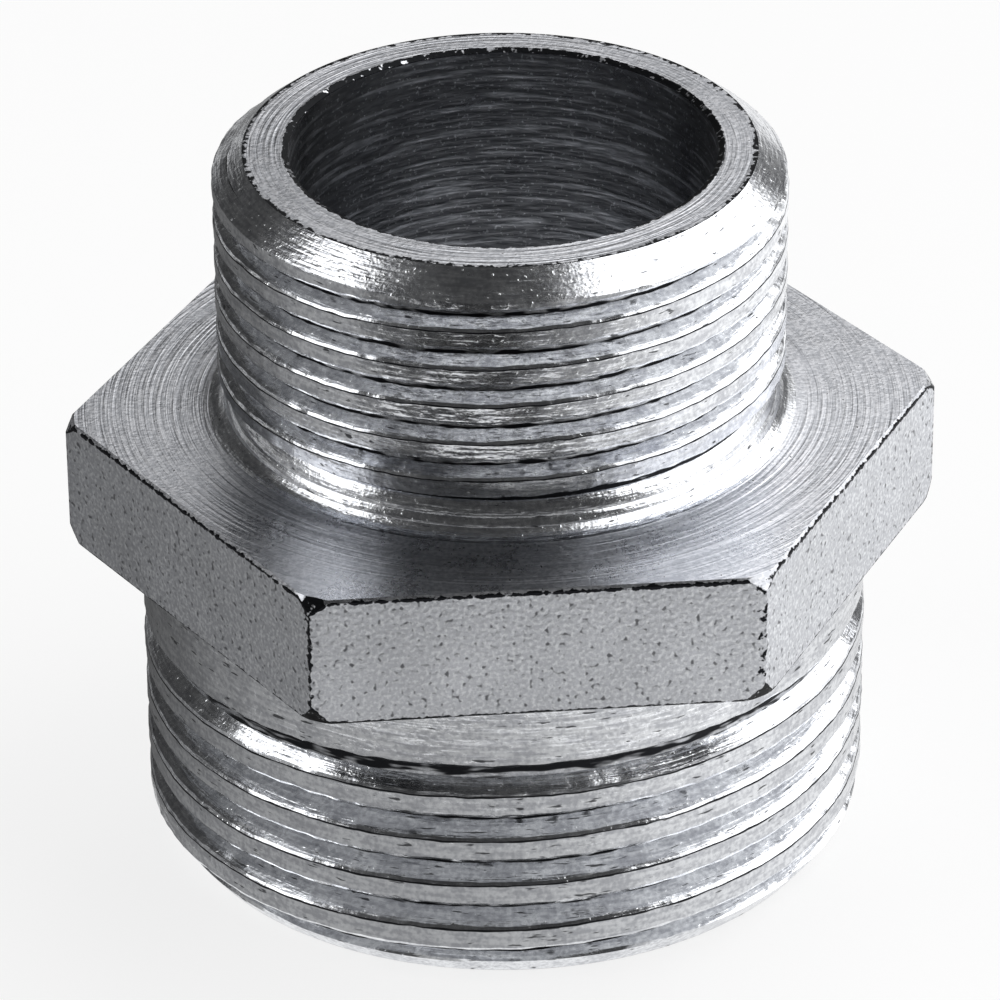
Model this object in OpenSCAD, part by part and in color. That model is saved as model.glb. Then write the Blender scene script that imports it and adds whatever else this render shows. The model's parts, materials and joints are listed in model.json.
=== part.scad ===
// Reducing nipple: a hexagon with a male parallel pipe thread on each side, one a size
// larger than the other, bored right through. It stands on its large end and is one piece,
// turned from hexagon bar. Millimetres, +Z is the common axis.

/* [Hexagon] */
// Width across the flats, the spanner size
hex_af = 34; // [33:0.5:42]
// Height of the hexagon
hex_h = 6.2; // [4:0.1:14]
// How far the turned bevels cut into each corner, measured outwards from the axis
corner_cut = 0.5; // [0.2:0.1:1]
// Height of the bevel on the upper corners
upper_bevel_h = 0.6; // [0.2:0.1:1]
// Height of the bevel on the lower corners
lower_bevel_h = 0.9; // [0.2:0.1:1.2]

/* [Threads] */
// Angle between the two flanks of a groove
flank_angle = 55; // [50:1:60]

/* [Small end] */
// Diameter over the crests
small_d = 25.4; // [24.6:0.05:26.4]
// Length from the hexagon to the end face
small_len = 12.6; // [8:0.1:20]
// Distance from one crest to the next, 14 to the inch
small_pitch = 1.814; // [1.5:0.001:2]
// Depth of a groove
small_depth = 0.7; // [0.5:0.05:0.8]
// Width of a groove's floor
small_floor = 0.2; // [0.1:0.05:0.3]
// Distance from the end face to the middle of the first groove
small_lead = 1.87; // [1.7:0.01:2.5]
// Outer diameter of the end face
small_face_d = 22.7; // [21.6:0.1:24]
// Length of the bevel that leads into the thread
small_bevel = 1.05; // [0.5:0.05:1.2]
// Fillet between the neck and the hexagon
small_fillet = 0.8; // [0.3:0.1:1.2]

/* [Large end] */
// Diameter over the crests
large_d = 32.8; // [32:0.05:33]
// Length from the hexagon to the end face
large_len = 14.4; // [10:0.1:22]
// Distance from one crest to the next, 11 to the inch
large_pitch = 2.309; // [2:0.001:2.5]
// Depth of a groove
large_depth = 1; // [0.7:0.05:1.1]
// Width of a groove's floor
large_floor = 0.15; // [0.1:0.05:0.3]
// Distance from the end face to the middle of the first groove
large_lead = 1.27; // [1:0.01:2.5]
// Outer diameter of the end face
large_face_d = 30.6; // [29.5:0.1:31.5]
// Length of the bevel that leads into the thread
large_bevel = 1.5; // [0.6:0.05:2]
// Length of the plain collar between the thread and the hexagon
large_collar = 2.95; // [1:0.05:5]

/* [Bore] */
// Bore of the small end, which runs on into the hexagon
small_bore_d = 18.9; // [14:0.1:20]
// Bevel of the mouth at the small end
small_mouth = 0.15; // [0.05:0.05:0.5]
// Bore of the large end
large_bore_d = 25; // [21:0.1:27]
// Depth of the large bore, up to where the drill's cone starts
large_bore_depth = 14; // [8:0.1:15]
// Bevel of the mouth at the large end
large_mouth = 0.4; // [0.05:0.05:0.8]
// Angle of the cone that the drill leaves between the two bores
drill_angle = 118; // [90:1:140]

/* [Hidden] */
$fn = 120;

total_h = large_len + hex_h + small_len;
corner_r = hex_af / 2 / cos(30);
// Every cut runs on by this much past the face that it opens
past = 0.5;

// Height of a turned cone or bevel that narrows by dr, with its full angle at the point
function cone_h(dr, angle) = dr / tan(angle / 2);

// Outline of one groove of a thread, across its middle: the floor at -depth, the crests at 0
// and both flanks running on past the crests
module groove(depth, floor_w)
{
    low = floor_w / 2;
    high = low + (depth + past) * tan(flank_angle / 2);
    polygon([[-depth, -low], [past, -high], [past, high], [-depth, low]]);
}

// One threaded end, with its end face at height 0 and the hexagon at height `len`. The grooves
// start at `lead` and follow each other at the pitch. From the last one a relief as deep as
// the thread runs up to the plain collar, or to the hexagon where there is no collar. The end
// is drawn on into the hexagon, which carries it.
module threaded_end(d, len, pitch, depth, floor_w, lead, face_d, bevel, collar = 0)
{
    half_groove = floor_w / 2 + depth * tan(flank_angle / 2);
    turns = floor((len - collar - lead - half_groove) / pitch);
    last = lead + turns * pitch;
    relief_end = collar > 0 ? len - collar : len + past;

    rotate_extrude() difference() {
        polygon([[0, 0], [face_d / 2, 0], [d / 2, bevel], [d / 2, len + past], [0, len + past]]);
        for (turn = [0 : turns])
            translate([d / 2, lead + turn * pitch]) groove(depth, floor_w);
        translate([d / 2 - depth, last]) square([depth + past, relief_end - last]);
    }
}

// Ring that rounds off the corner between the neck of radius r and a face at height 0
module neck_fillet(r, fillet)
{
    rotate_extrude() difference() {
        translate([r - past, -past]) square(fillet + past);
        translate([r + fillet, fillet]) circle(fillet);
    }
}

// The hexagon, with its corners turned off to a cone at the top and at the bottom
module hexagon()
{
    // Both cone lines are drawn on past the corners, so that only the bevels cut
    face_r = corner_r - corner_cut;
    wide_r = corner_r + corner_cut;
    intersection() {
        cylinder(r = corner_r, h = hex_h, $fn = 6);
        rotate_extrude() polygon([
            [0, 0],
            [face_r, 0],
            [wide_r, 2 * lower_bevel_h],
            [wide_r, hex_h - 2 * upper_bevel_h],
            [face_r, hex_h],
            [0, hex_h]
        ]);
    }
}

// Everything that is cut out along the axis: both bores, the cone between them and the
// bevelled mouths
module bores()
{
    small_r = small_bore_d / 2;
    large_r = large_bore_d / 2;
    rotate_extrude() polygon([
        [0, -past],
        [large_r + large_mouth + past, -past],
        [large_r, large_mouth],
        [large_r, large_bore_depth],
        [small_r, large_bore_depth + cone_h(large_r - small_r, drill_angle)],
        [small_r, total_h - small_mouth],
        [small_r + small_mouth + past, total_h + past],
        [0, total_h + past]
    ]);
}

module nipple()
{
    color("lightslategray") difference() {
        union() {
            threaded_end(large_d, large_len, large_pitch, large_depth, large_floor,
                         large_lead, large_face_d, large_bevel, large_collar);
            translate([0, 0, large_len]) hexagon();
            translate([0, 0, large_len + hex_h])
                neck_fillet(small_d / 2 - small_depth, small_fillet);
            translate([0, 0, total_h]) mirror([0, 0, 1])
                threaded_end(small_d, small_len, small_pitch, small_depth, small_floor,
                             small_lead, small_face_d, small_bevel);
        }
        bores();
    }
}

nipple();
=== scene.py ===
# Reducing nipple of zinc plated steel, turned from hexagon bar, standing on its large end
import json
import math

import bmesh
import bpy
from mathutils import Matrix, Quaternion, Vector, noise


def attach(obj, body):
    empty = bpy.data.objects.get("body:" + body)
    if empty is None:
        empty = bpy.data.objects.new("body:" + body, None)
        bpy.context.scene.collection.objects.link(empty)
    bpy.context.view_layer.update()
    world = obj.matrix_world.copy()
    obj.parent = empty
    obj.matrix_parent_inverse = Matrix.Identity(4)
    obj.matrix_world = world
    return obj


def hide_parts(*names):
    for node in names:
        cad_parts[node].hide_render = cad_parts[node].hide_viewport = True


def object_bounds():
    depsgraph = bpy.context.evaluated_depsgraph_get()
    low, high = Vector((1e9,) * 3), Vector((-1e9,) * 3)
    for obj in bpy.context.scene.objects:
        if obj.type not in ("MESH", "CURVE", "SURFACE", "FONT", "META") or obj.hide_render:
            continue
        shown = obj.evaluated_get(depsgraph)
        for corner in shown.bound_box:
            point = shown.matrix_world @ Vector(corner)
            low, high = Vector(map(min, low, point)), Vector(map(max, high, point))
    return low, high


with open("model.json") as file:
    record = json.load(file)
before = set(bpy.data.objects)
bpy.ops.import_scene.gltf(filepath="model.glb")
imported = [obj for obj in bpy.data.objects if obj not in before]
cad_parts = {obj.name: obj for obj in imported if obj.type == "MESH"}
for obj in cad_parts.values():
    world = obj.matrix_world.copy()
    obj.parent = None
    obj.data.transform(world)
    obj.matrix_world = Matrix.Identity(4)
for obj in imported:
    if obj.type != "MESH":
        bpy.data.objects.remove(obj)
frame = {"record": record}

# Shapes are worked out in millimetres and turned to metres when a piece is finished
MM = 0.001

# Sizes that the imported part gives: its box, its thread and bore radii and its shoulders
cad_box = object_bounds()
mounts = {mount["name"]: mount for mount in frame["record"]["mounts"]}
total_h = cad_box[1].z / MM
corner_r = cad_box[1].x / MM
flat_r = corner_r * math.cos(math.radians(30))
hex_low_z = mounts["large_shoulder"]["pos_m"][2] / MM
hex_high_z = mounts["small_shoulder"]["pos_m"][2] / MM
small_r = mounts["small_thread"]["dims"]["r_mm"]
large_r = mounts["large_thread"]["dims"]["r_mm"]
small_bore_r = mounts["small_bore"]["dims"]["r_mm"]
large_bore_r = mounts["large_bore"]["dims"]["r_mm"]

# The camera stands this way round the part, in degrees from +X
FRONT = 264.965
# Faces round the axis in one turn
STEPS = 360
# Half the angle between the flanks of a groove
HALF_FLANK = math.radians(27.5)

# Both threads: pitch from the threads to the inch, width of the worn edge along both sides of a
# crest, height of a groove's middle at the front
SMALL = {"r": small_r, "pitch": 25.4 / 14, "depth": 0.7, "floor": 0.2, "edge": 0.09,
         "groove_z": 24.07}
LARGE = {"r": large_r, "pitch": 25.4 / 11, "depth": 1.0, "floor": 0.15, "edge": 0.1,
         "groove_z": 3.58}

# How far the edges of the crests stray up and down
RAGGED = 0.06
# Painted shade at the points of a groove's outline, from one crest down, over the floor and up to
# the
# next: a painted dark line along the upper edges of the crests, and the darkest painted shade on the
# floors
GROOVE_SHADE = (0, 1.1, 0, 1, 0.9, 0, 0, 0)

# End faces and the bevels that lead into the threads
SMALL_FACE_R = 11.34
SMALL_BEVEL = 1.05
LARGE_FACE_R = 15.28
LARGE_BEVEL = 1.5

# The small thread ends here, above the neck
NECK_TOP_Z = 22.68
# Neck from the last crest to the hexagon: radius, height and dark paint. It starts in an undercut
# painted dark as painted shade under the last crest, and flares, with two fine tool lines drawn dark
# on the flare.
NECK = (
    (11.95, 22.66, 1), (11.88, 22.33, 1), (11.88, 22.13, 1), (11.98, 22.03, 0),
    (12.1, 21.75, 0), (12.24, 21.49, 0), (12.25, 21.43, 1), (12.3, 21.37, 0),
    (12.45, 21.11, 0), (12.46, 21.06, 1), (12.51, 21.02, 0), (12.61, 20.92, 0),
    (12.75, 20.83, 0), (12.93, 20.76, 0), (13.17, 20.7, 0),
)
# From there the hexagon's top is dished by a hair out to this radius
DISH = ((13.5, 20.655), (14.1, 20.62), (15.2, 20.6))

# The large thread runs out in a wider and shallower groove that fades away behind the part
RUNOUT_WIDER = 0.33
RUNOUT_SHALLOWER = 0.32
RUNOUT_WIDENS_Z = (9.6, 10.1)
RUNOUT_FADES_Z = (11.1, 11.9)
COLLAR_Z = 13.2

# Hexagon: turned corners, rounded edges
CORNER_CUT = 0.45
UPPER_BEVEL_H = 0.7
LOWER_BEVEL_H = 0.9
HEX_EDGE = 0.13
# The corner that is painted darkest, in degrees from +X
DARKEST_CORNER = 240
HEX_ROUND = 0.25

# Bore: mouths, depth of the large one, and how far the drill ran off the axis
SMALL_MOUTH = (0.24, 0.13)
LARGE_MOUTH = 0.4
LARGE_BORE_DEPTH = 14.0
DRILL_HALF = math.radians(59)
BORE_OFF = Vector((0.153, 0.113, 0))

# The studio's pale wall: angle round the part, height, and where its edge ends and starts
WALL_AT = (60, 50)
WALL_EDGE = (37, 19)
WALL_CORE = (27, 9)

# Radius at which the length of a tool mark is true
LATHE_R = 14

TURNED, FACED, DRAWN, BORED = range(4)


def smooth_step(low, high, value):
    """0 below low, 1 above high and a smooth rise between them"""
    t = min(max((value - low) / (high - low), 0), 1)
    return t * t * (3 - 2 * t)


def set_radius(vert, radius):
    """Moves a vertex straight out from the axis or in towards it"""
    factor = radius / math.hypot(vert.co.x, vert.co.y)
    vert.co.x *= factor
    vert.co.y *= factor


def groove_profile(thread):
    """Radius, height and painted shade of one groove from crest to crest, its middle at height 0"""
    half = thread["floor"] / 2 + thread["depth"] * math.tan(HALF_FLANK)
    flank = Vector((thread["depth"], half - thread["floor"] / 2)).normalized()
    crest, worn = thread["r"], thread["edge"]
    lower = [
        (crest, -thread["pitch"] / 2),
        (crest, -half - worn),
        (crest - worn * flank.x, -half + worn * flank.y),
        (crest - thread["depth"], -thread["floor"] / 2),
    ]
    outline = lower + [(r, -z) for r, z in reversed(lower)]
    return [(r, z, dirt_and_shade) for (r, z), dirt_and_shade in zip(outline, GROOVE_SHADE)]


def nicks(verts, size, reach):
    """Small bumps and dents, with their size across and their reach in mm"""
    for vert in verts:
        vert.co += noise.noise_vector(vert.co / size) * reach


def with_faces(verts):
    """The vertices with all their edges and faces, in the same order on every run"""
    edges = dict.fromkeys(e for v in verts for e in v.link_edges)
    faces = dict.fromkeys(f for v in verts for f in v.link_faces)
    return list(verts) + list(edges) + list(faces)


def spin_thread(bm, thread, low_z, high_z, runout=False):
    """Sweeps one groove up a helix, welds its turns and trims the thread flat at both heights"""
    pitch = thread["pitch"]
    base = thread["groove_z"] - pitch * FRONT / 360
    first = math.floor((low_z - pitch / 2 - base) / pitch)
    turns = math.ceil((high_z + pitch / 2 - base) / pitch) - first
    rise, grime_and_shade = (bm.verts.layers.float[name] for name in ("rise", "grime_and_shade"))

    old = set(bm.verts)
    line = []
    for r, z, dirt_and_shade in groove_profile(thread):
        vert = bm.verts.new((r, 0, base + first * pitch + z))
        vert[rise] = z
        vert[grime_and_shade] = dirt_and_shade
        line.append(vert)
    edges = [bm.edges.new(pair) for pair in zip(line, line[1:])]
    bmesh.ops.spin(bm, geom=line + edges, cent=(0, 0, 0), axis=(0, 0, 1), steps=STEPS,
                   dvec=(0, 0, pitch / STEPS), angle=math.tau)
    turn = [v for v in bm.verts if v not in old]
    for edge in {e for v in turn for e in v.link_edges}:
        # The corners of the groove's outline stay sharp all the way round
        start, end = (v[rise] for v in edge.verts)
        edge.smooth = abs(start - end) > 0.001 or abs(start) > pitch / 2 - 0.01
    turn += list(dict.fromkeys(f for v in turn for f in v.link_faces))
    for step in range(1, turns):
        copy = bmesh.ops.duplicate(bm, geom=turn)["geom"]
        verts = [g for g in copy if isinstance(g, bmesh.types.BMVert)]
        bmesh.ops.translate(bm, verts=verts, vec=(0, 0, pitch * step))
    verts = [v for v in bm.verts if v not in old]
    if runout:
        shape_runout(verts, rise, grime_and_shade, thread)
    bmesh.ops.remove_doubles(bm, verts=verts, dist=0.01)
    verts = [v for v in bm.verts if v not in old]
    for vert in verts:
        # The worn edges of the crests are ragged
        if 0.3 * thread["pitch"] > abs(vert[rise]) > thread["floor"]:
            vert.co.z += noise.noise(vert.co / 0.8) * RAGGED
    nicks(verts, 0.6, 0.035)
    nicks(verts, 3, 0.04)

    for height, side in ((low_z, -1), (high_z, 1)):
        geom = with_faces([v for v in bm.verts if v not in old])
        bmesh.ops.bisect_plane(bm, geom=geom, dist=0.0001, plane_co=(0, 0, height),
                               plane_no=(0, 0, side), clear_outer=True)
    return [v for v in bm.verts if v not in old]


def shape_runout(verts, rise, grime_and_shade, thread):
    """Widens the last groove upwards, makes it shallower and lets it fade out into the collar"""
    for vert in verts:
        groove_z = vert.co.z - vert[rise]
        depth = thread["r"] - math.hypot(vert.co.x, vert.co.y)
        wider = smooth_step(*RUNOUT_WIDENS_Z, groove_z)
        if 0 < vert[rise] < thread["pitch"] / 2 - 0.05:
            vert.co.z += RUNOUT_WIDER * wider
        left = 1 - smooth_step(*RUNOUT_FADES_Z, groove_z)
        set_radius(vert, thread["r"] - depth * (1 - RUNOUT_SHALLOWER * wider) * left)
        # Where the groove gets wider, painted shade spreads over its floor from the upper corner
        if depth > thread["depth"] / 2:
            target = 1 if vert[rise] > 0 else 0.94
            vert[grime_and_shade] += (target - vert[grime_and_shade]) * wider
        vert[grime_and_shade] *= left


def bevel_end(bm, crest_r, face_r, face_z, start_z):
    """Turns the bevel at the end of a thread: rings of edges first, then every point inside"""
    rings = 10
    low, high = sorted((face_z, start_z))
    for ring in range(rings):
        z = start_z + (face_z - start_z) * ring / rings
        geom = with_faces([v for v in bm.verts if low - 1 < v.co.z < high + 1])
        bmesh.ops.bisect_plane(bm, geom=geom, dist=0.0001, plane_co=(0, 0, z),
                               plane_no=(0, 0, 1))
    grime_and_shade = bm.verts.layers.float["grime_and_shade"]
    for vert in bm.verts:
        if low - 0.001 <= vert.co.z <= high + 0.001:
            part = (vert.co.z - start_z) / (face_z - start_z)
            limit = crest_r + (face_r - crest_r) * part
            if math.hypot(vert.co.x, vert.co.y) > limit:
                set_radius(vert, limit)
                vert[grime_and_shade] = abs(vert.co.z - face_z) < 0.01


def rim(bm, z):
    """The open edges at one height"""
    return [e for e in bm.edges if e.is_boundary and all(abs(v.co.z - z) < 0.005 for v in e.verts)]


def carry(bm, edges, radius, z, finish, dirt_and_shade=0):
    """Carries an open rim on to the next circle or outline and returns the new rim. Radius,
    height and the dark paint of dirt and painted shade are numbers, or functions of the angle round
    the axis."""
    grime_and_shade = bm.verts.layers.float["grime_and_shade"]
    made = bmesh.ops.extrude_edge_only(bm, edges=edges)["geom"]
    verts = {g for g in made if isinstance(g, bmesh.types.BMVert)}
    for vert in verts:
        angle = math.atan2(vert.co.y, vert.co.x)
        r = radius(angle) if callable(radius) else radius
        height = z(angle) if callable(z) else z
        vert.co = (r * math.cos(angle), r * math.sin(angle), height)
        vert[grime_and_shade] = dirt_and_shade(angle) if callable(dirt_and_shade) else dirt_and_shade
    for face in {f for v in verts for f in v.link_faces}:
        face.material_index = finish
    return [g for g in made if isinstance(g, bmesh.types.BMEdge) and set(g.verts) <= verts]


def hex_radius(angle):
    """Distance from the axis to the hexagon's side, with its upright edges slightly rounded"""
    off = (angle + math.radians(30)) % math.radians(60) - math.radians(30)
    # A corner stands at off = 0, the middles of the flats at 30 degrees to both sides
    side = flat_r / math.cos(math.radians(30) - abs(off))
    # The round sits on the line from the axis to the corner, touching both flats
    centre = (flat_r - HEX_ROUND) / math.cos(math.radians(30))
    touch = math.atan2(HEX_ROUND * math.sin(math.radians(30)),
                       centre + HEX_ROUND * math.cos(math.radians(30)))
    if abs(off) > touch:
        return side
    across = centre * math.sin(off)
    return centre * math.cos(off) + math.sqrt(HEX_ROUND ** 2 - across ** 2)


def hex_inner(angle):
    """Edge of the hexagon's flat upper and lower faces"""
    return min(hex_radius(angle) - HEX_EDGE, corner_r - CORNER_CUT)


def hex_drop(angle, bevel_h):
    """How far the side's edge lies below the face, along a flat and on a turned corner"""
    return max(HEX_EDGE, (hex_radius(angle) - corner_r + CORNER_CUT) / CORNER_CUT * bevel_h)


def is_darkest_corner(angle):
    """Whether this is the hexagon's corner that is painted darkest"""
    return abs((math.degrees(angle) - DARKEST_CORNER + 180) % 360 - 180) < 30


def upright_darkening(angle):
    """Darkening along the hexagon's upright edges: a dark edge and a dark strip on one side of it"""
    off = (math.degrees(angle) + 30) % 60 - 30
    most = 1 if is_darkest_corner(angle) else 0.86
    return most * (0.85 if abs(off) < 0.5 else 0.58 if -2 < off < 0 else 0)


def corner_darkening(angle):
    """Darkening along the upper edge of the hexagon, and on its turned corners"""
    if hex_drop(angle, UPPER_BEVEL_H) > HEX_EDGE:
        return 1 if is_darkest_corner(angle) else 0.55
    return 0.3


def add_neck_and_hexagon(bm):
    """From the end of the small thread down the neck and over the hexagon to the collar"""
    edge = rim(bm, NECK_TOP_Z)
    for r, z, dirt_and_shade in NECK:
        edge = carry(bm, edge, r, z, TURNED, dirt_and_shade)
    for r, z in DISH:
        edge = carry(bm, edge, r, z, FACED)
    edge = carry(bm, edge, lambda a: hex_inner(a) - 0.2, hex_high_z, FACED)
    edge = carry(bm, edge, hex_inner, hex_high_z, FACED, corner_darkening)
    edge = carry(bm, edge, hex_radius, lambda a: hex_high_z - hex_drop(a, UPPER_BEVEL_H), FACED,
                 lambda a: 0.75 if corner_darkening(a) == 0.55 else 1)
    for down, dirt_and_shade in ((0.07, 1), (0.25, upright_darkening)):
        edge = carry(bm, edge, hex_radius,
                     lambda a: hex_high_z - hex_drop(a, UPPER_BEVEL_H) - down, DRAWN, dirt_and_shade)
    edge = carry(bm, edge, hex_radius, lambda a: hex_low_z + hex_drop(a, LOWER_BEVEL_H) + 0.15,
                 DRAWN, upright_darkening)
    # The lower edge of the sides, the hexagon's underside and the top of the collar under it are
    # painted dark: painted shade under the hexagon
    edge = carry(bm, edge, hex_radius, lambda a: hex_low_z + hex_drop(a, LOWER_BEVEL_H), DRAWN, 1)
    edge = carry(bm, edge, hex_inner, hex_low_z, FACED, 1)
    edge = carry(bm, edge, large_r, hex_low_z, FACED, 1)
    for face in bmesh.ops.bridge_loops(bm, edges=edge + rim(bm, COLLAR_Z))["faces"]:
        face.material_index = TURNED


def add_bore(bm):
    """From the large end's face up through both bores to the small end's face"""
    cone_h = (large_bore_r - small_bore_r) / math.tan(DRILL_HALF)
    edge = rim(bm, 0)
    inside = set(bm.verts)
    edge = carry(bm, edge, large_bore_r + LARGE_MOUTH, 0, FACED)
    for r, z in (
        (large_bore_r, LARGE_MOUTH),
        (large_bore_r, LARGE_BORE_DEPTH),
        (small_bore_r, LARGE_BORE_DEPTH + cone_h),
        (small_bore_r, total_h - SMALL_MOUTH[1] - 0.15),
    ):
        edge = carry(bm, edge, r, z, BORED)
    # The mouth of the small bore and its rim are painted dark: painted shade at the edge of the hole
    edge = carry(bm, edge, small_bore_r, total_h - SMALL_MOUTH[1], BORED, 1)
    edge = carry(bm, edge, small_bore_r + SMALL_MOUTH[0], total_h, FACED, 1)
    edge = carry(bm, edge, small_bore_r + SMALL_MOUTH[0] + 0.2, total_h, FACED)
    bmesh.ops.translate(bm, verts=[v for v in bm.verts if v not in inside], vec=BORE_OFF)
    small_face = [e for e in rim(bm, total_h) if e not in set(edge)]
    small_face = carry(bm, small_face, SMALL_FACE_R - 0.6, total_h, FACED)
    for face in bmesh.ops.bridge_loops(bm, edges=edge + small_face)["faces"]:
        face.material_index = FACED


def make_nipple():
    bm = bmesh.new()
    layers = [bm.verts.layers.float.new(name) for name in ("rise", "grime_and_shade")]
    spin_thread(bm, SMALL, NECK_TOP_Z, total_h)
    spin_thread(bm, LARGE, 0, COLLAR_Z, runout=True)
    bevel_end(bm, small_r, SMALL_FACE_R, total_h, total_h - SMALL_BEVEL)
    bevel_end(bm, large_r, LARGE_FACE_R, 0, LARGE_BEVEL)
    add_neck_and_hexagon(bm)
    add_bore(bm)
    bmesh.ops.remove_doubles(bm, verts=bm.verts, dist=0.002)
    bmesh.ops.dissolve_degenerate(bm, edges=bm.edges, dist=0.001)
    bmesh.ops.recalc_face_normals(bm, faces=bm.faces)
    for face in bm.faces:
        face.smooth = True
    for edge in bm.edges:
        edge.smooth = edge.smooth and edge.calc_face_angle(0) < math.radians(28)
    bm.verts.layers.float.remove(layers[0])
    bmesh.ops.scale(bm, vec=(MM, MM, MM), verts=bm.verts)
    mesh = bpy.data.meshes.new("nipple_body")
    bm.to_mesh(mesh)
    bm.free()
    piece = bpy.data.objects.new("nipple_body", mesh)
    bpy.context.scene.collection.objects.link(piece)
    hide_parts("nipple")
    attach(piece, "root")
    return piece


def linear(hex_colour):
    """An sRGB hex colour as linear RGBA"""
    parts = [int(hex_colour[i:i + 2], 16) / 255 for i in (1, 3, 5)]
    return [c / 12.92 if c <= 0.04045 else ((c + 0.055) / 1.055) ** 2.4 for c in parts] + [1]


def add(tree, kind, inputs=None, **settings):
    """Adds one node with its settings. An input takes a value or another node's output."""
    node = tree.nodes.new(kind)
    for name, value in settings.items():
        setattr(node, name, value)
    for key, value in (inputs or {}).items():
        if isinstance(value, bpy.types.NodeSocket):
            tree.links.new(value, node.inputs[key])
        else:
            node.inputs[key].default_value = value
    return node


def new_material(name):
    material = bpy.data.materials.new(name)
    material.use_nodes = True
    material.node_tree.nodes.clear()
    return material, material.node_tree


def laid_out(tree):
    """A point's place in mm, and the same as the lathe tool met it: two parts that run round
    the axis, and a third that runs with the feed, down a wall or out over a face"""
    object_place = add(tree, "ShaderNodeTexCoord").outputs["Object"]
    place = add(tree, "ShaderNodeVectorMath", {0: object_place, "Scale": 1 / MM},
                operation="SCALE").outputs[0]
    flat = add(tree, "ShaderNodeVectorMath", {0: place, 1: (1, 1, 0)},
               operation="MULTIPLY").outputs[0]
    out = add(tree, "ShaderNodeVectorMath", {0: flat}, operation="LENGTH").outputs["Value"]
    turn = add(tree, "ShaderNodeVectorMath", {0: flat}, operation="NORMALIZE").outputs[0]
    up = add(tree, "ShaderNodeSeparateXYZ", {0: place}).outputs["Z"]
    feed = add(tree, "ShaderNodeMath", {0: up, 1: out}, operation="SUBTRACT").outputs[0]
    along = add(tree, "ShaderNodeCombineXYZ", {"Z": feed}).outputs[0]
    cut = add(tree, "ShaderNodeVectorMath", {0: turn, 1: along}, operation="ADD").outputs[0]
    return place, cut


def tool_marks(tree, cut, length, height, seed, detail=2.0):
    """Uneven marks of the tool, in mm round the part and in mm along the feed"""
    stretched = add(tree, "ShaderNodeVectorMath", {
        0: cut, 1: (LATHE_R / length, LATHE_R / length, 1 / height), 2: (0, 0, seed)},
        operation="MULTIPLY_ADD").outputs[0]
    return add(tree, "ShaderNodeTexNoise",
               {"Vector": stretched, "Scale": 1.0, "Detail": detail}).outputs[0]


def plating_grain(tree, place, size, seed, detail=2.0):
    """Grain of the zinc, the same in every direction, with its size in mm"""
    moved = add(tree, "ShaderNodeVectorMath", {0: place, 1: (1 / size,) * 3, 2: (seed,) * 3},
                operation="MULTIPLY_ADD").outputs[0]
    return add(tree, "ShaderNodeTexNoise",
               {"Vector": moved, "Scale": 1.0, "Detail": detail}).outputs[0]


def above(tree, value, low, high):
    """0 where a pattern is below low, 1 where it is above high"""
    return add(tree, "ShaderNodeMapRange", {"Value": value, "From Min": low, "From Max": high},
               interpolation_type="SMOOTHSTEP").outputs[0]


def weighed(tree, *parts):
    """Sum of patterns, each with its weight"""
    total = 0.0
    for value, weight in parts:
        total = add(tree, "ShaderNodeMath", {0: value, 1: weight, 2: total},
                    operation="MULTIPLY_ADD").outputs[0]
    return total


def dirt_and_shade_edges(tree, ragged, amount, low, high):
    """Where dark marks and painted shade show, read from the vertex attribute, with an uneven border
    """
    grime_and_shade = add(tree, "ShaderNodeAttribute", attribute_name="grime_and_shade").outputs["Fac"]
    return above(tree, weighed(tree, (grime_and_shade, 1.0), (ragged, amount)), low + amount / 2,
                 high + amount / 2)


def plated(tree, shades, dirt_and_shade_colour, mottle, dirt_and_shade, roughness, height, depth):
    """Finishes a zinc plated surface: two shades of the zinc and the dark colour of dirt and painted
    shade, where each of them shows, and the relief with its depth in mm"""
    zinc = add(tree, "ShaderNodeMix", {"Factor": mottle, 6: linear(shades[0]),
                                       7: linear(shades[1])}, data_type="RGBA").outputs[2]
    colour = add(tree, "ShaderNodeMix", {"Factor": dirt_and_shade, 6: zinc, 7: linear(dirt_and_shade_colour)},
                 data_type="RGBA").outputs[2]
    bump = add(tree, "ShaderNodeBump", {"Height": height, "Distance": depth * MM}).outputs[0]
    shader = add(tree, "ShaderNodeBsdfPrincipled", {
        "Base Color": colour, "Metallic": 1.0, "Roughness": roughness, "Normal": bump})
    add(tree, "ShaderNodeOutputMaterial", {"Surface": shader.outputs[0]})


def turned_zinc_steel():
    material, tree = new_material("turned_zinc_steel")
    place, cut = laid_out(tree)
    feed_lines = tool_marks(tree, cut, 12, 0.2, 0, 1)
    tears = tool_marks(tree, cut, 1.3, 0.24, 31, 1)
    dashes = tool_marks(tree, cut, 0.9, 0.2, 47, 2)
    cloud = plating_grain(tree, place, 2.5, 7)
    specks = plating_grain(tree, place, 0.22, 3, 1)
    pits = above(tree, dashes, 0.65, 0.72)
    chips = above(tree, specks, 0.66, 0.8)
    mottle = above(tree, weighed(tree, (specks, 0.5), (tears, 0.5)), 0.35, 0.65)
    # Painted shade in the thread's grooves, the run-out and the neck's undercut, with dark lines
    # along the crests and the neck's tool lines
    edges = dirt_and_shade_edges(tree, tears, 0.3, 0.91, 0.98)
    dirt_and_shade = add(tree, "ShaderNodeMath", {0: weighed(tree, (pits, 0.85)), 1: edges},
               operation="MAXIMUM").outputs[0]
    roughness = weighed(tree, (cloud, 0.2), (dirt_and_shade, 0.25), (1.0, 0.1))
    height = weighed(tree, (feed_lines, 0.35), (tears, -0.4), (dashes, -0.35), (specks, 0.3),
                     (chips, 0.2))
    plated(tree, ("#c9cbd0", "#f4f6f9"), "#2a2b2e", mottle, dirt_and_shade, roughness, height, 0.035)
    return material


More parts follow.
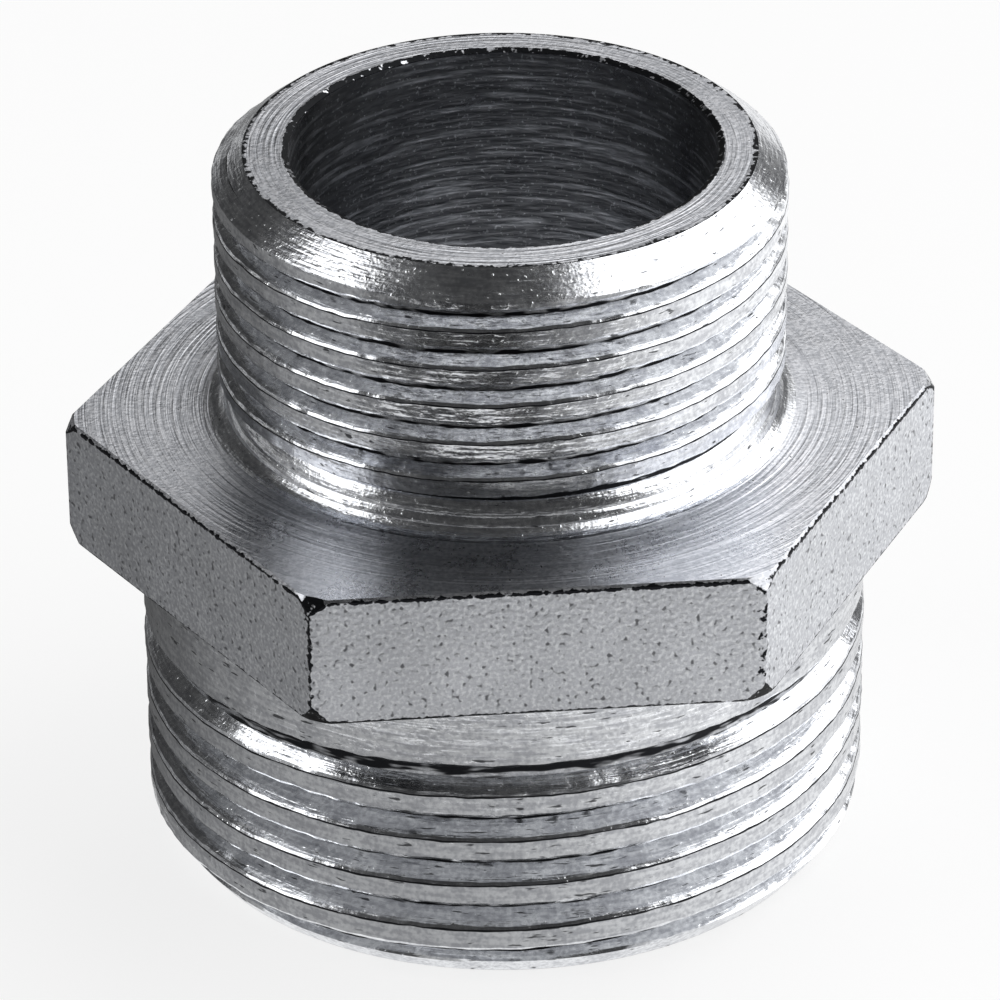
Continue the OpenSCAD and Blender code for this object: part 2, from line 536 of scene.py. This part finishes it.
def faced_zinc_steel():
    material, tree = new_material("faced_zinc_steel")
    place, cut = laid_out(tree)
    rings = tool_marks(tree, cut, 16, 0.22, 5, 2)
    scratches = tool_marks(tree, cut, 4, 0.14, 57, 1)
    cloud = plating_grain(tree, place, 3, 11)
    grain = plating_grain(tree, place, 0.18, 23, 1)
    pits = above(tree, grain, 0.74, 0.8)
    mottle = above(tree, weighed(tree, (grain, 0.6), (rings, 0.4)), 0.4, 0.62)
    # Darkening from the vertex attribute along the hexagon's upper edges, with painted shade at the
    # bore's mouth and under the hexagon
    edges = dirt_and_shade_edges(tree, plating_grain(tree, place, 0.3, 2), 1.6, 0.7, 0.85)
    dirt_and_shade = add(tree, "ShaderNodeMath", {0: pits, 1: edges}, operation="MAXIMUM").outputs[0]
    roughness = weighed(tree, (cloud, 0.25), (dirt_and_shade, 0.25), (grain, 0.1), (1.0, 0.12))
    height = weighed(tree, (rings, 0.9), (scratches, 0.7), (grain, 0.3))
    plated(tree, ("#b2b4b9", "#cecfd3"), "#18191b", mottle, dirt_and_shade, roughness, height, 0.03)
    return material


def drawn_zinc_steel():
    material, tree = new_material("drawn_zinc_steel")
    place, cut = laid_out(tree)
    dents = plating_grain(tree, place, 0.24, 41, 0)
    cloud = plating_grain(tree, place, 3, 13)
    grain = plating_grain(tree, place, 0.17, 17, 1)
    pits = above(tree, dents, 0.64, 0.82)
    mottle = above(tree, grain, 0.4, 0.75)
    # Darkening from the vertex attribute along the hexagon's upright edges, with painted shade along
    # their lower edges
    edges = dirt_and_shade_edges(tree, plating_grain(tree, place, 0.3, 2), 1.6, 0.7, 0.85)
    dirt_and_shade = add(tree, "ShaderNodeMath", {0: weighed(tree, (pits, 0.7)), 1: edges},
               operation="MAXIMUM").outputs[0]
    roughness = weighed(tree, (cloud, 0.2), (dirt_and_shade, 0.2), (grain, 0.1), (1.0, 0.25))
    height = weighed(tree, (dents, -1.0), (grain, 0.4))
    plated(tree, ("#cdcfd4", "#f2f4f7"), "#2c2d31", mottle, dirt_and_shade, roughness, height, 0.02)
    return material


def bored_zinc_steel():
    material, tree = new_material("bored_zinc_steel")
    place, cut = laid_out(tree)
    arcs = tool_marks(tree, cut, 7, 0.3, 71, 1)
    fine = tool_marks(tree, cut, 1.2, 0.2, 83, 2)
    cloud = plating_grain(tree, place, 3, 19)
    specks = plating_grain(tree, place, 0.16, 29, 1)
    bare = weighed(tree, (above(tree, arcs, 0.52, 0.66), 0.7), (above(tree, specks, 0.62, 0.7), 0.6))
    edges = dirt_and_shade_edges(tree, fine, 0.5, 0.6, 0.75)
    # The bore is painted mostly dark, as painted shade inside the hole, except where the tool marks
    # leave bare zinc
    dirt_and_shade = add(tree, "ShaderNodeMath", {0: 0.7, 1: bare}, operation="SUBTRACT",
               use_clamp=True).outputs[0]
    dirt_and_shade = add(tree, "ShaderNodeMath", {0: dirt_and_shade, 1: edges}, operation="MAXIMUM").outputs[0]
    roughness = weighed(tree, (cloud, 0.2), (1.0, 0.2))
    height = weighed(tree, (arcs, 0.6), (fine, 0.5))
    plated(tree, ("#b4b6ba", "#e8eaee"), "#5c5d61", above(tree, fine, 0.35, 0.65), dirt_and_shade,
           roughness, height, 0.05)
    return material


def polar(radius, angle, z):
    """A point in metres from millimetres and degrees round the axis"""
    a = math.radians(angle)
    return Vector((radius * math.cos(a), radius * math.sin(a), z)) * MM


def make_camera():
    data = bpy.data.cameras.new("camera")
    data.sensor_width = 36
    data.lens = 231.11
    data.clip_start = 0.01
    camera = bpy.data.objects.new("camera", data)
    bpy.context.scene.collection.objects.link(camera)
    turn = Matrix.Rotation(math.radians(-5.003), 4, "Z")
    tilt = Matrix.Rotation(math.radians(90 - 30.073), 4, "X")
    roll = Matrix.Rotation(math.radians(-0.497), 4, "Z")
    camera.matrix_world = Matrix.Translation(polar(251.47, FRONT, 160.87)) @ turn @ tilt @ roll
    bpy.context.scene.camera = camera


def add_lamp(name, angle, elevation, half_width, half_height, brightness, lean=0):
    """An oval softbox: its angle round the part, its height, its half width and half height as
    the part sees them and how far it leans, all in degrees, and how bright it is beside white"""
    distance = 500
    radii = [distance * math.tan(math.radians(a)) * MM for a in (half_width, half_height)]
    data = bpy.data.lights.new(name, "AREA")
    data.shape = "ELLIPSE"
    data.size, data.size_y = (2 * radius for radius in radii)
    data.energy = brightness * math.pi * math.pi * radii[0] * radii[1]
    lamp = bpy.data.objects.new(name, data)
    bpy.context.scene.collection.objects.link(lamp)
    up = math.radians(elevation)
    middle = Vector((0, 0, total_h / 2 * MM))
    lamp.location = polar(distance * math.cos(up), angle, distance * math.sin(up)) + middle
    aim = (middle - lamp.location).to_track_quat("-Z", "Y")
    lamp.rotation_euler = (aim @ Quaternion((0, 0, 1), math.radians(lean))).to_euler()


def add_card(name, radii, z, brightest, shades):
    """A flat ring of card round the part, which only reflections show. Its shade changes gently
    on the way round: angles with the brightness there as a part of the brightest."""
    bm = bmesh.new()
    start = [bm.verts.new(polar(r, 0, z)) for r in radii]
    edge = bm.edges.new(start)
    bmesh.ops.spin(bm, geom=start + [edge], cent=(0, 0, 0), axis=(0, 0, 1), steps=72,
                   angle=math.tau, use_merge=True)
    mesh = bpy.data.meshes.new(name)
    bm.to_mesh(mesh)
    bm.free()
    card = bpy.data.objects.new(name, mesh)
    bpy.context.scene.collection.objects.link(card)

    material, tree = new_material(name)
    place = add(tree, "ShaderNodeTexCoord").outputs["Object"]
    axes = add(tree, "ShaderNodeSeparateXYZ", {0: place})
    angle = add(tree, "ShaderNodeMath", {0: axes.outputs["Y"], 1: axes.outputs["X"]},
                operation="ARCTAN2").outputs[0]
    turn = weighed(tree, (angle, 1 / math.tau), (0.5, 1.0))
    ramp = add(tree, "ShaderNodeValToRGB", {0: turn})
    stops = sorted((((a + 180) % 360) / 360, shade) for a, shade in shades)
    stops = [(stops[-1][0] - 1, stops[-1][1])] + stops + [(stops[0][0] + 1, stops[0][1])]
    # The ramp starts and ends at the seam behind -X with the shade between its neighbours there
    seam = stops[0][1] + (stops[1][1] - stops[0][1]) * -stops[0][0] / (stops[1][0] - stops[0][0])
    stops = [(0, seam)] + stops[1:-1] + [(1, seam)]
    for place, shade in stops[1:-1]:
        ramp.color_ramp.elements.new(place)
    for element, (place, shade) in zip(ramp.color_ramp.elements, stops):
        element.position = place
        element.color = (shade, shade, shade, 1)
    shader = add(tree, "ShaderNodeEmission", {"Color": ramp.outputs[0], "Strength": brightest})
    add(tree, "ShaderNodeOutputMaterial", {"Surface": shader.outputs[0]})
    mesh.materials.append(material)
    card.visible_camera = False
    card.visible_diffuse = False
    card.visible_shadow = False


def make_floor():
    bm = bmesh.new()
    bmesh.ops.create_grid(bm, x_segments=1, y_segments=1, size=3)
    bmesh.ops.translate(bm, verts=bm.verts, vec=(0, 0, -0.00002))
    mesh = bpy.data.meshes.new("floor")
    bm.to_mesh(mesh)
    bm.free()
    floor = bpy.data.objects.new("floor", mesh)
    bpy.context.scene.collection.objects.link(floor)
    material, tree = new_material("white_paper")
    path = add(tree, "ShaderNodeLightPath")
    seen = weighed(tree, (path.outputs["Is Camera Ray"], 0.8), (path.outputs["Is Glossy Ray"], 0.8),
                   (path.outputs["Is Transmission Ray"], 0.8))
    paper = add(tree, "ShaderNodeBsdfDiffuse", {"Color": linear("#f2f2f2")})
    glow = add(tree, "ShaderNodeEmission", {"Color": (1, 1, 1, 1), "Strength": 1.0})
    mixed = add(tree, "ShaderNodeMixShader",
                {0: seen, 1: paper.outputs[0], 2: glow.outputs[0]})
    add(tree, "ShaderNodeOutputMaterial", {"Surface": mixed.outputs[0]})
    mesh.materials.append(material)


def make_world():
    """A dark studio with one pale wall behind the part, seen as a soft round patch"""
    world = bpy.data.worlds.new("studio")
    bpy.context.scene.world = world
    world.use_nodes = True
    tree = world.node_tree
    tree.nodes.clear()
    look = add(tree, "ShaderNodeTexCoord").outputs["Generated"]
    angle, elevation = math.radians(WALL_AT[0]), math.radians(WALL_AT[1])
    towards = (math.cos(elevation) * math.cos(angle), math.cos(elevation) * math.sin(angle),
               math.sin(elevation))
    near = add(tree, "ShaderNodeVectorMath", {0: look, 1: towards}, operation="DOT_PRODUCT")
    wall, core = (above(tree, near.outputs["Value"], *(math.cos(math.radians(a)) for a in edge))
                  for edge in (WALL_EDGE, WALL_CORE))
    height = add(tree, "ShaderNodeSeparateXYZ", {0: look}).outputs["Z"]
    dark = add(tree, "ShaderNodeMix", {"Factor": above(tree, height, 0.0, 0.25),
                                       6: linear("#9a9a9a"), 7: linear("#404040")},
               data_type="RGBA").outputs[2]
    room = add(tree, "ShaderNodeMix", {"Factor": wall, 6: dark, 7: linear("#ffffff")},
               data_type="RGBA").outputs[2]
    sky = add(tree, "ShaderNodeBackground", {
        "Color": room, "Strength": weighed(tree, (core, 1.7), (1.0, 1.0))}).outputs[0]
    add(tree, "ShaderNodeOutputWorld", {"Surface": sky})


make_camera()
nipple = make_nipple()
for finish in (turned_zinc_steel, faced_zinc_steel, drawn_zinc_steel, bored_zinc_steel):
    nipple.data.materials.append(finish())
make_floor()
make_world()
add_lamp("lamp_right", -3, 34, 39, 39, 2)
add_lamp("lamp_left", 187, 34, 16, 29, 2.1, lean=25)
add_card("near_card", (17, 41.5), 0.1, 1, (
    (105, 0.1), (145, 0.1), (165, 0.13), (185, 0.2), (205, 0.3), (225, 0.36), (245, 0.37),
    (265, 0.43), (285, 0.57), (305, 0.8), (325, 0.92), (345, 0.88), (65, 0.8)))
add_card("middle_card", (41.5, 53), 0.1, 1.5, (
    (105, 0.08), (150, 0.09), (170, 0.14), (190, 0.25), (210, 0.35), (230, 0.7), (275, 0.75),
    (295, 0.95), (325, 1), (345, 0.75), (5, 0.54), (65, 0.54)))
add_card("far_card", (53, 600), 0.1, 1.12, (
    (105, 0.12), (145, 0.12), (165, 0.16), (185, 0.27), (205, 0.3), (225, 0.1), (245, 0.02),
    (265, 0.02), (285, 0.17), (305, 0.44), (325, 0.82), (345, 1), (65, 1)))

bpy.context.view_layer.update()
view_settings = bpy.context.scene.view_settings
view_settings.view_transform = "Standard"
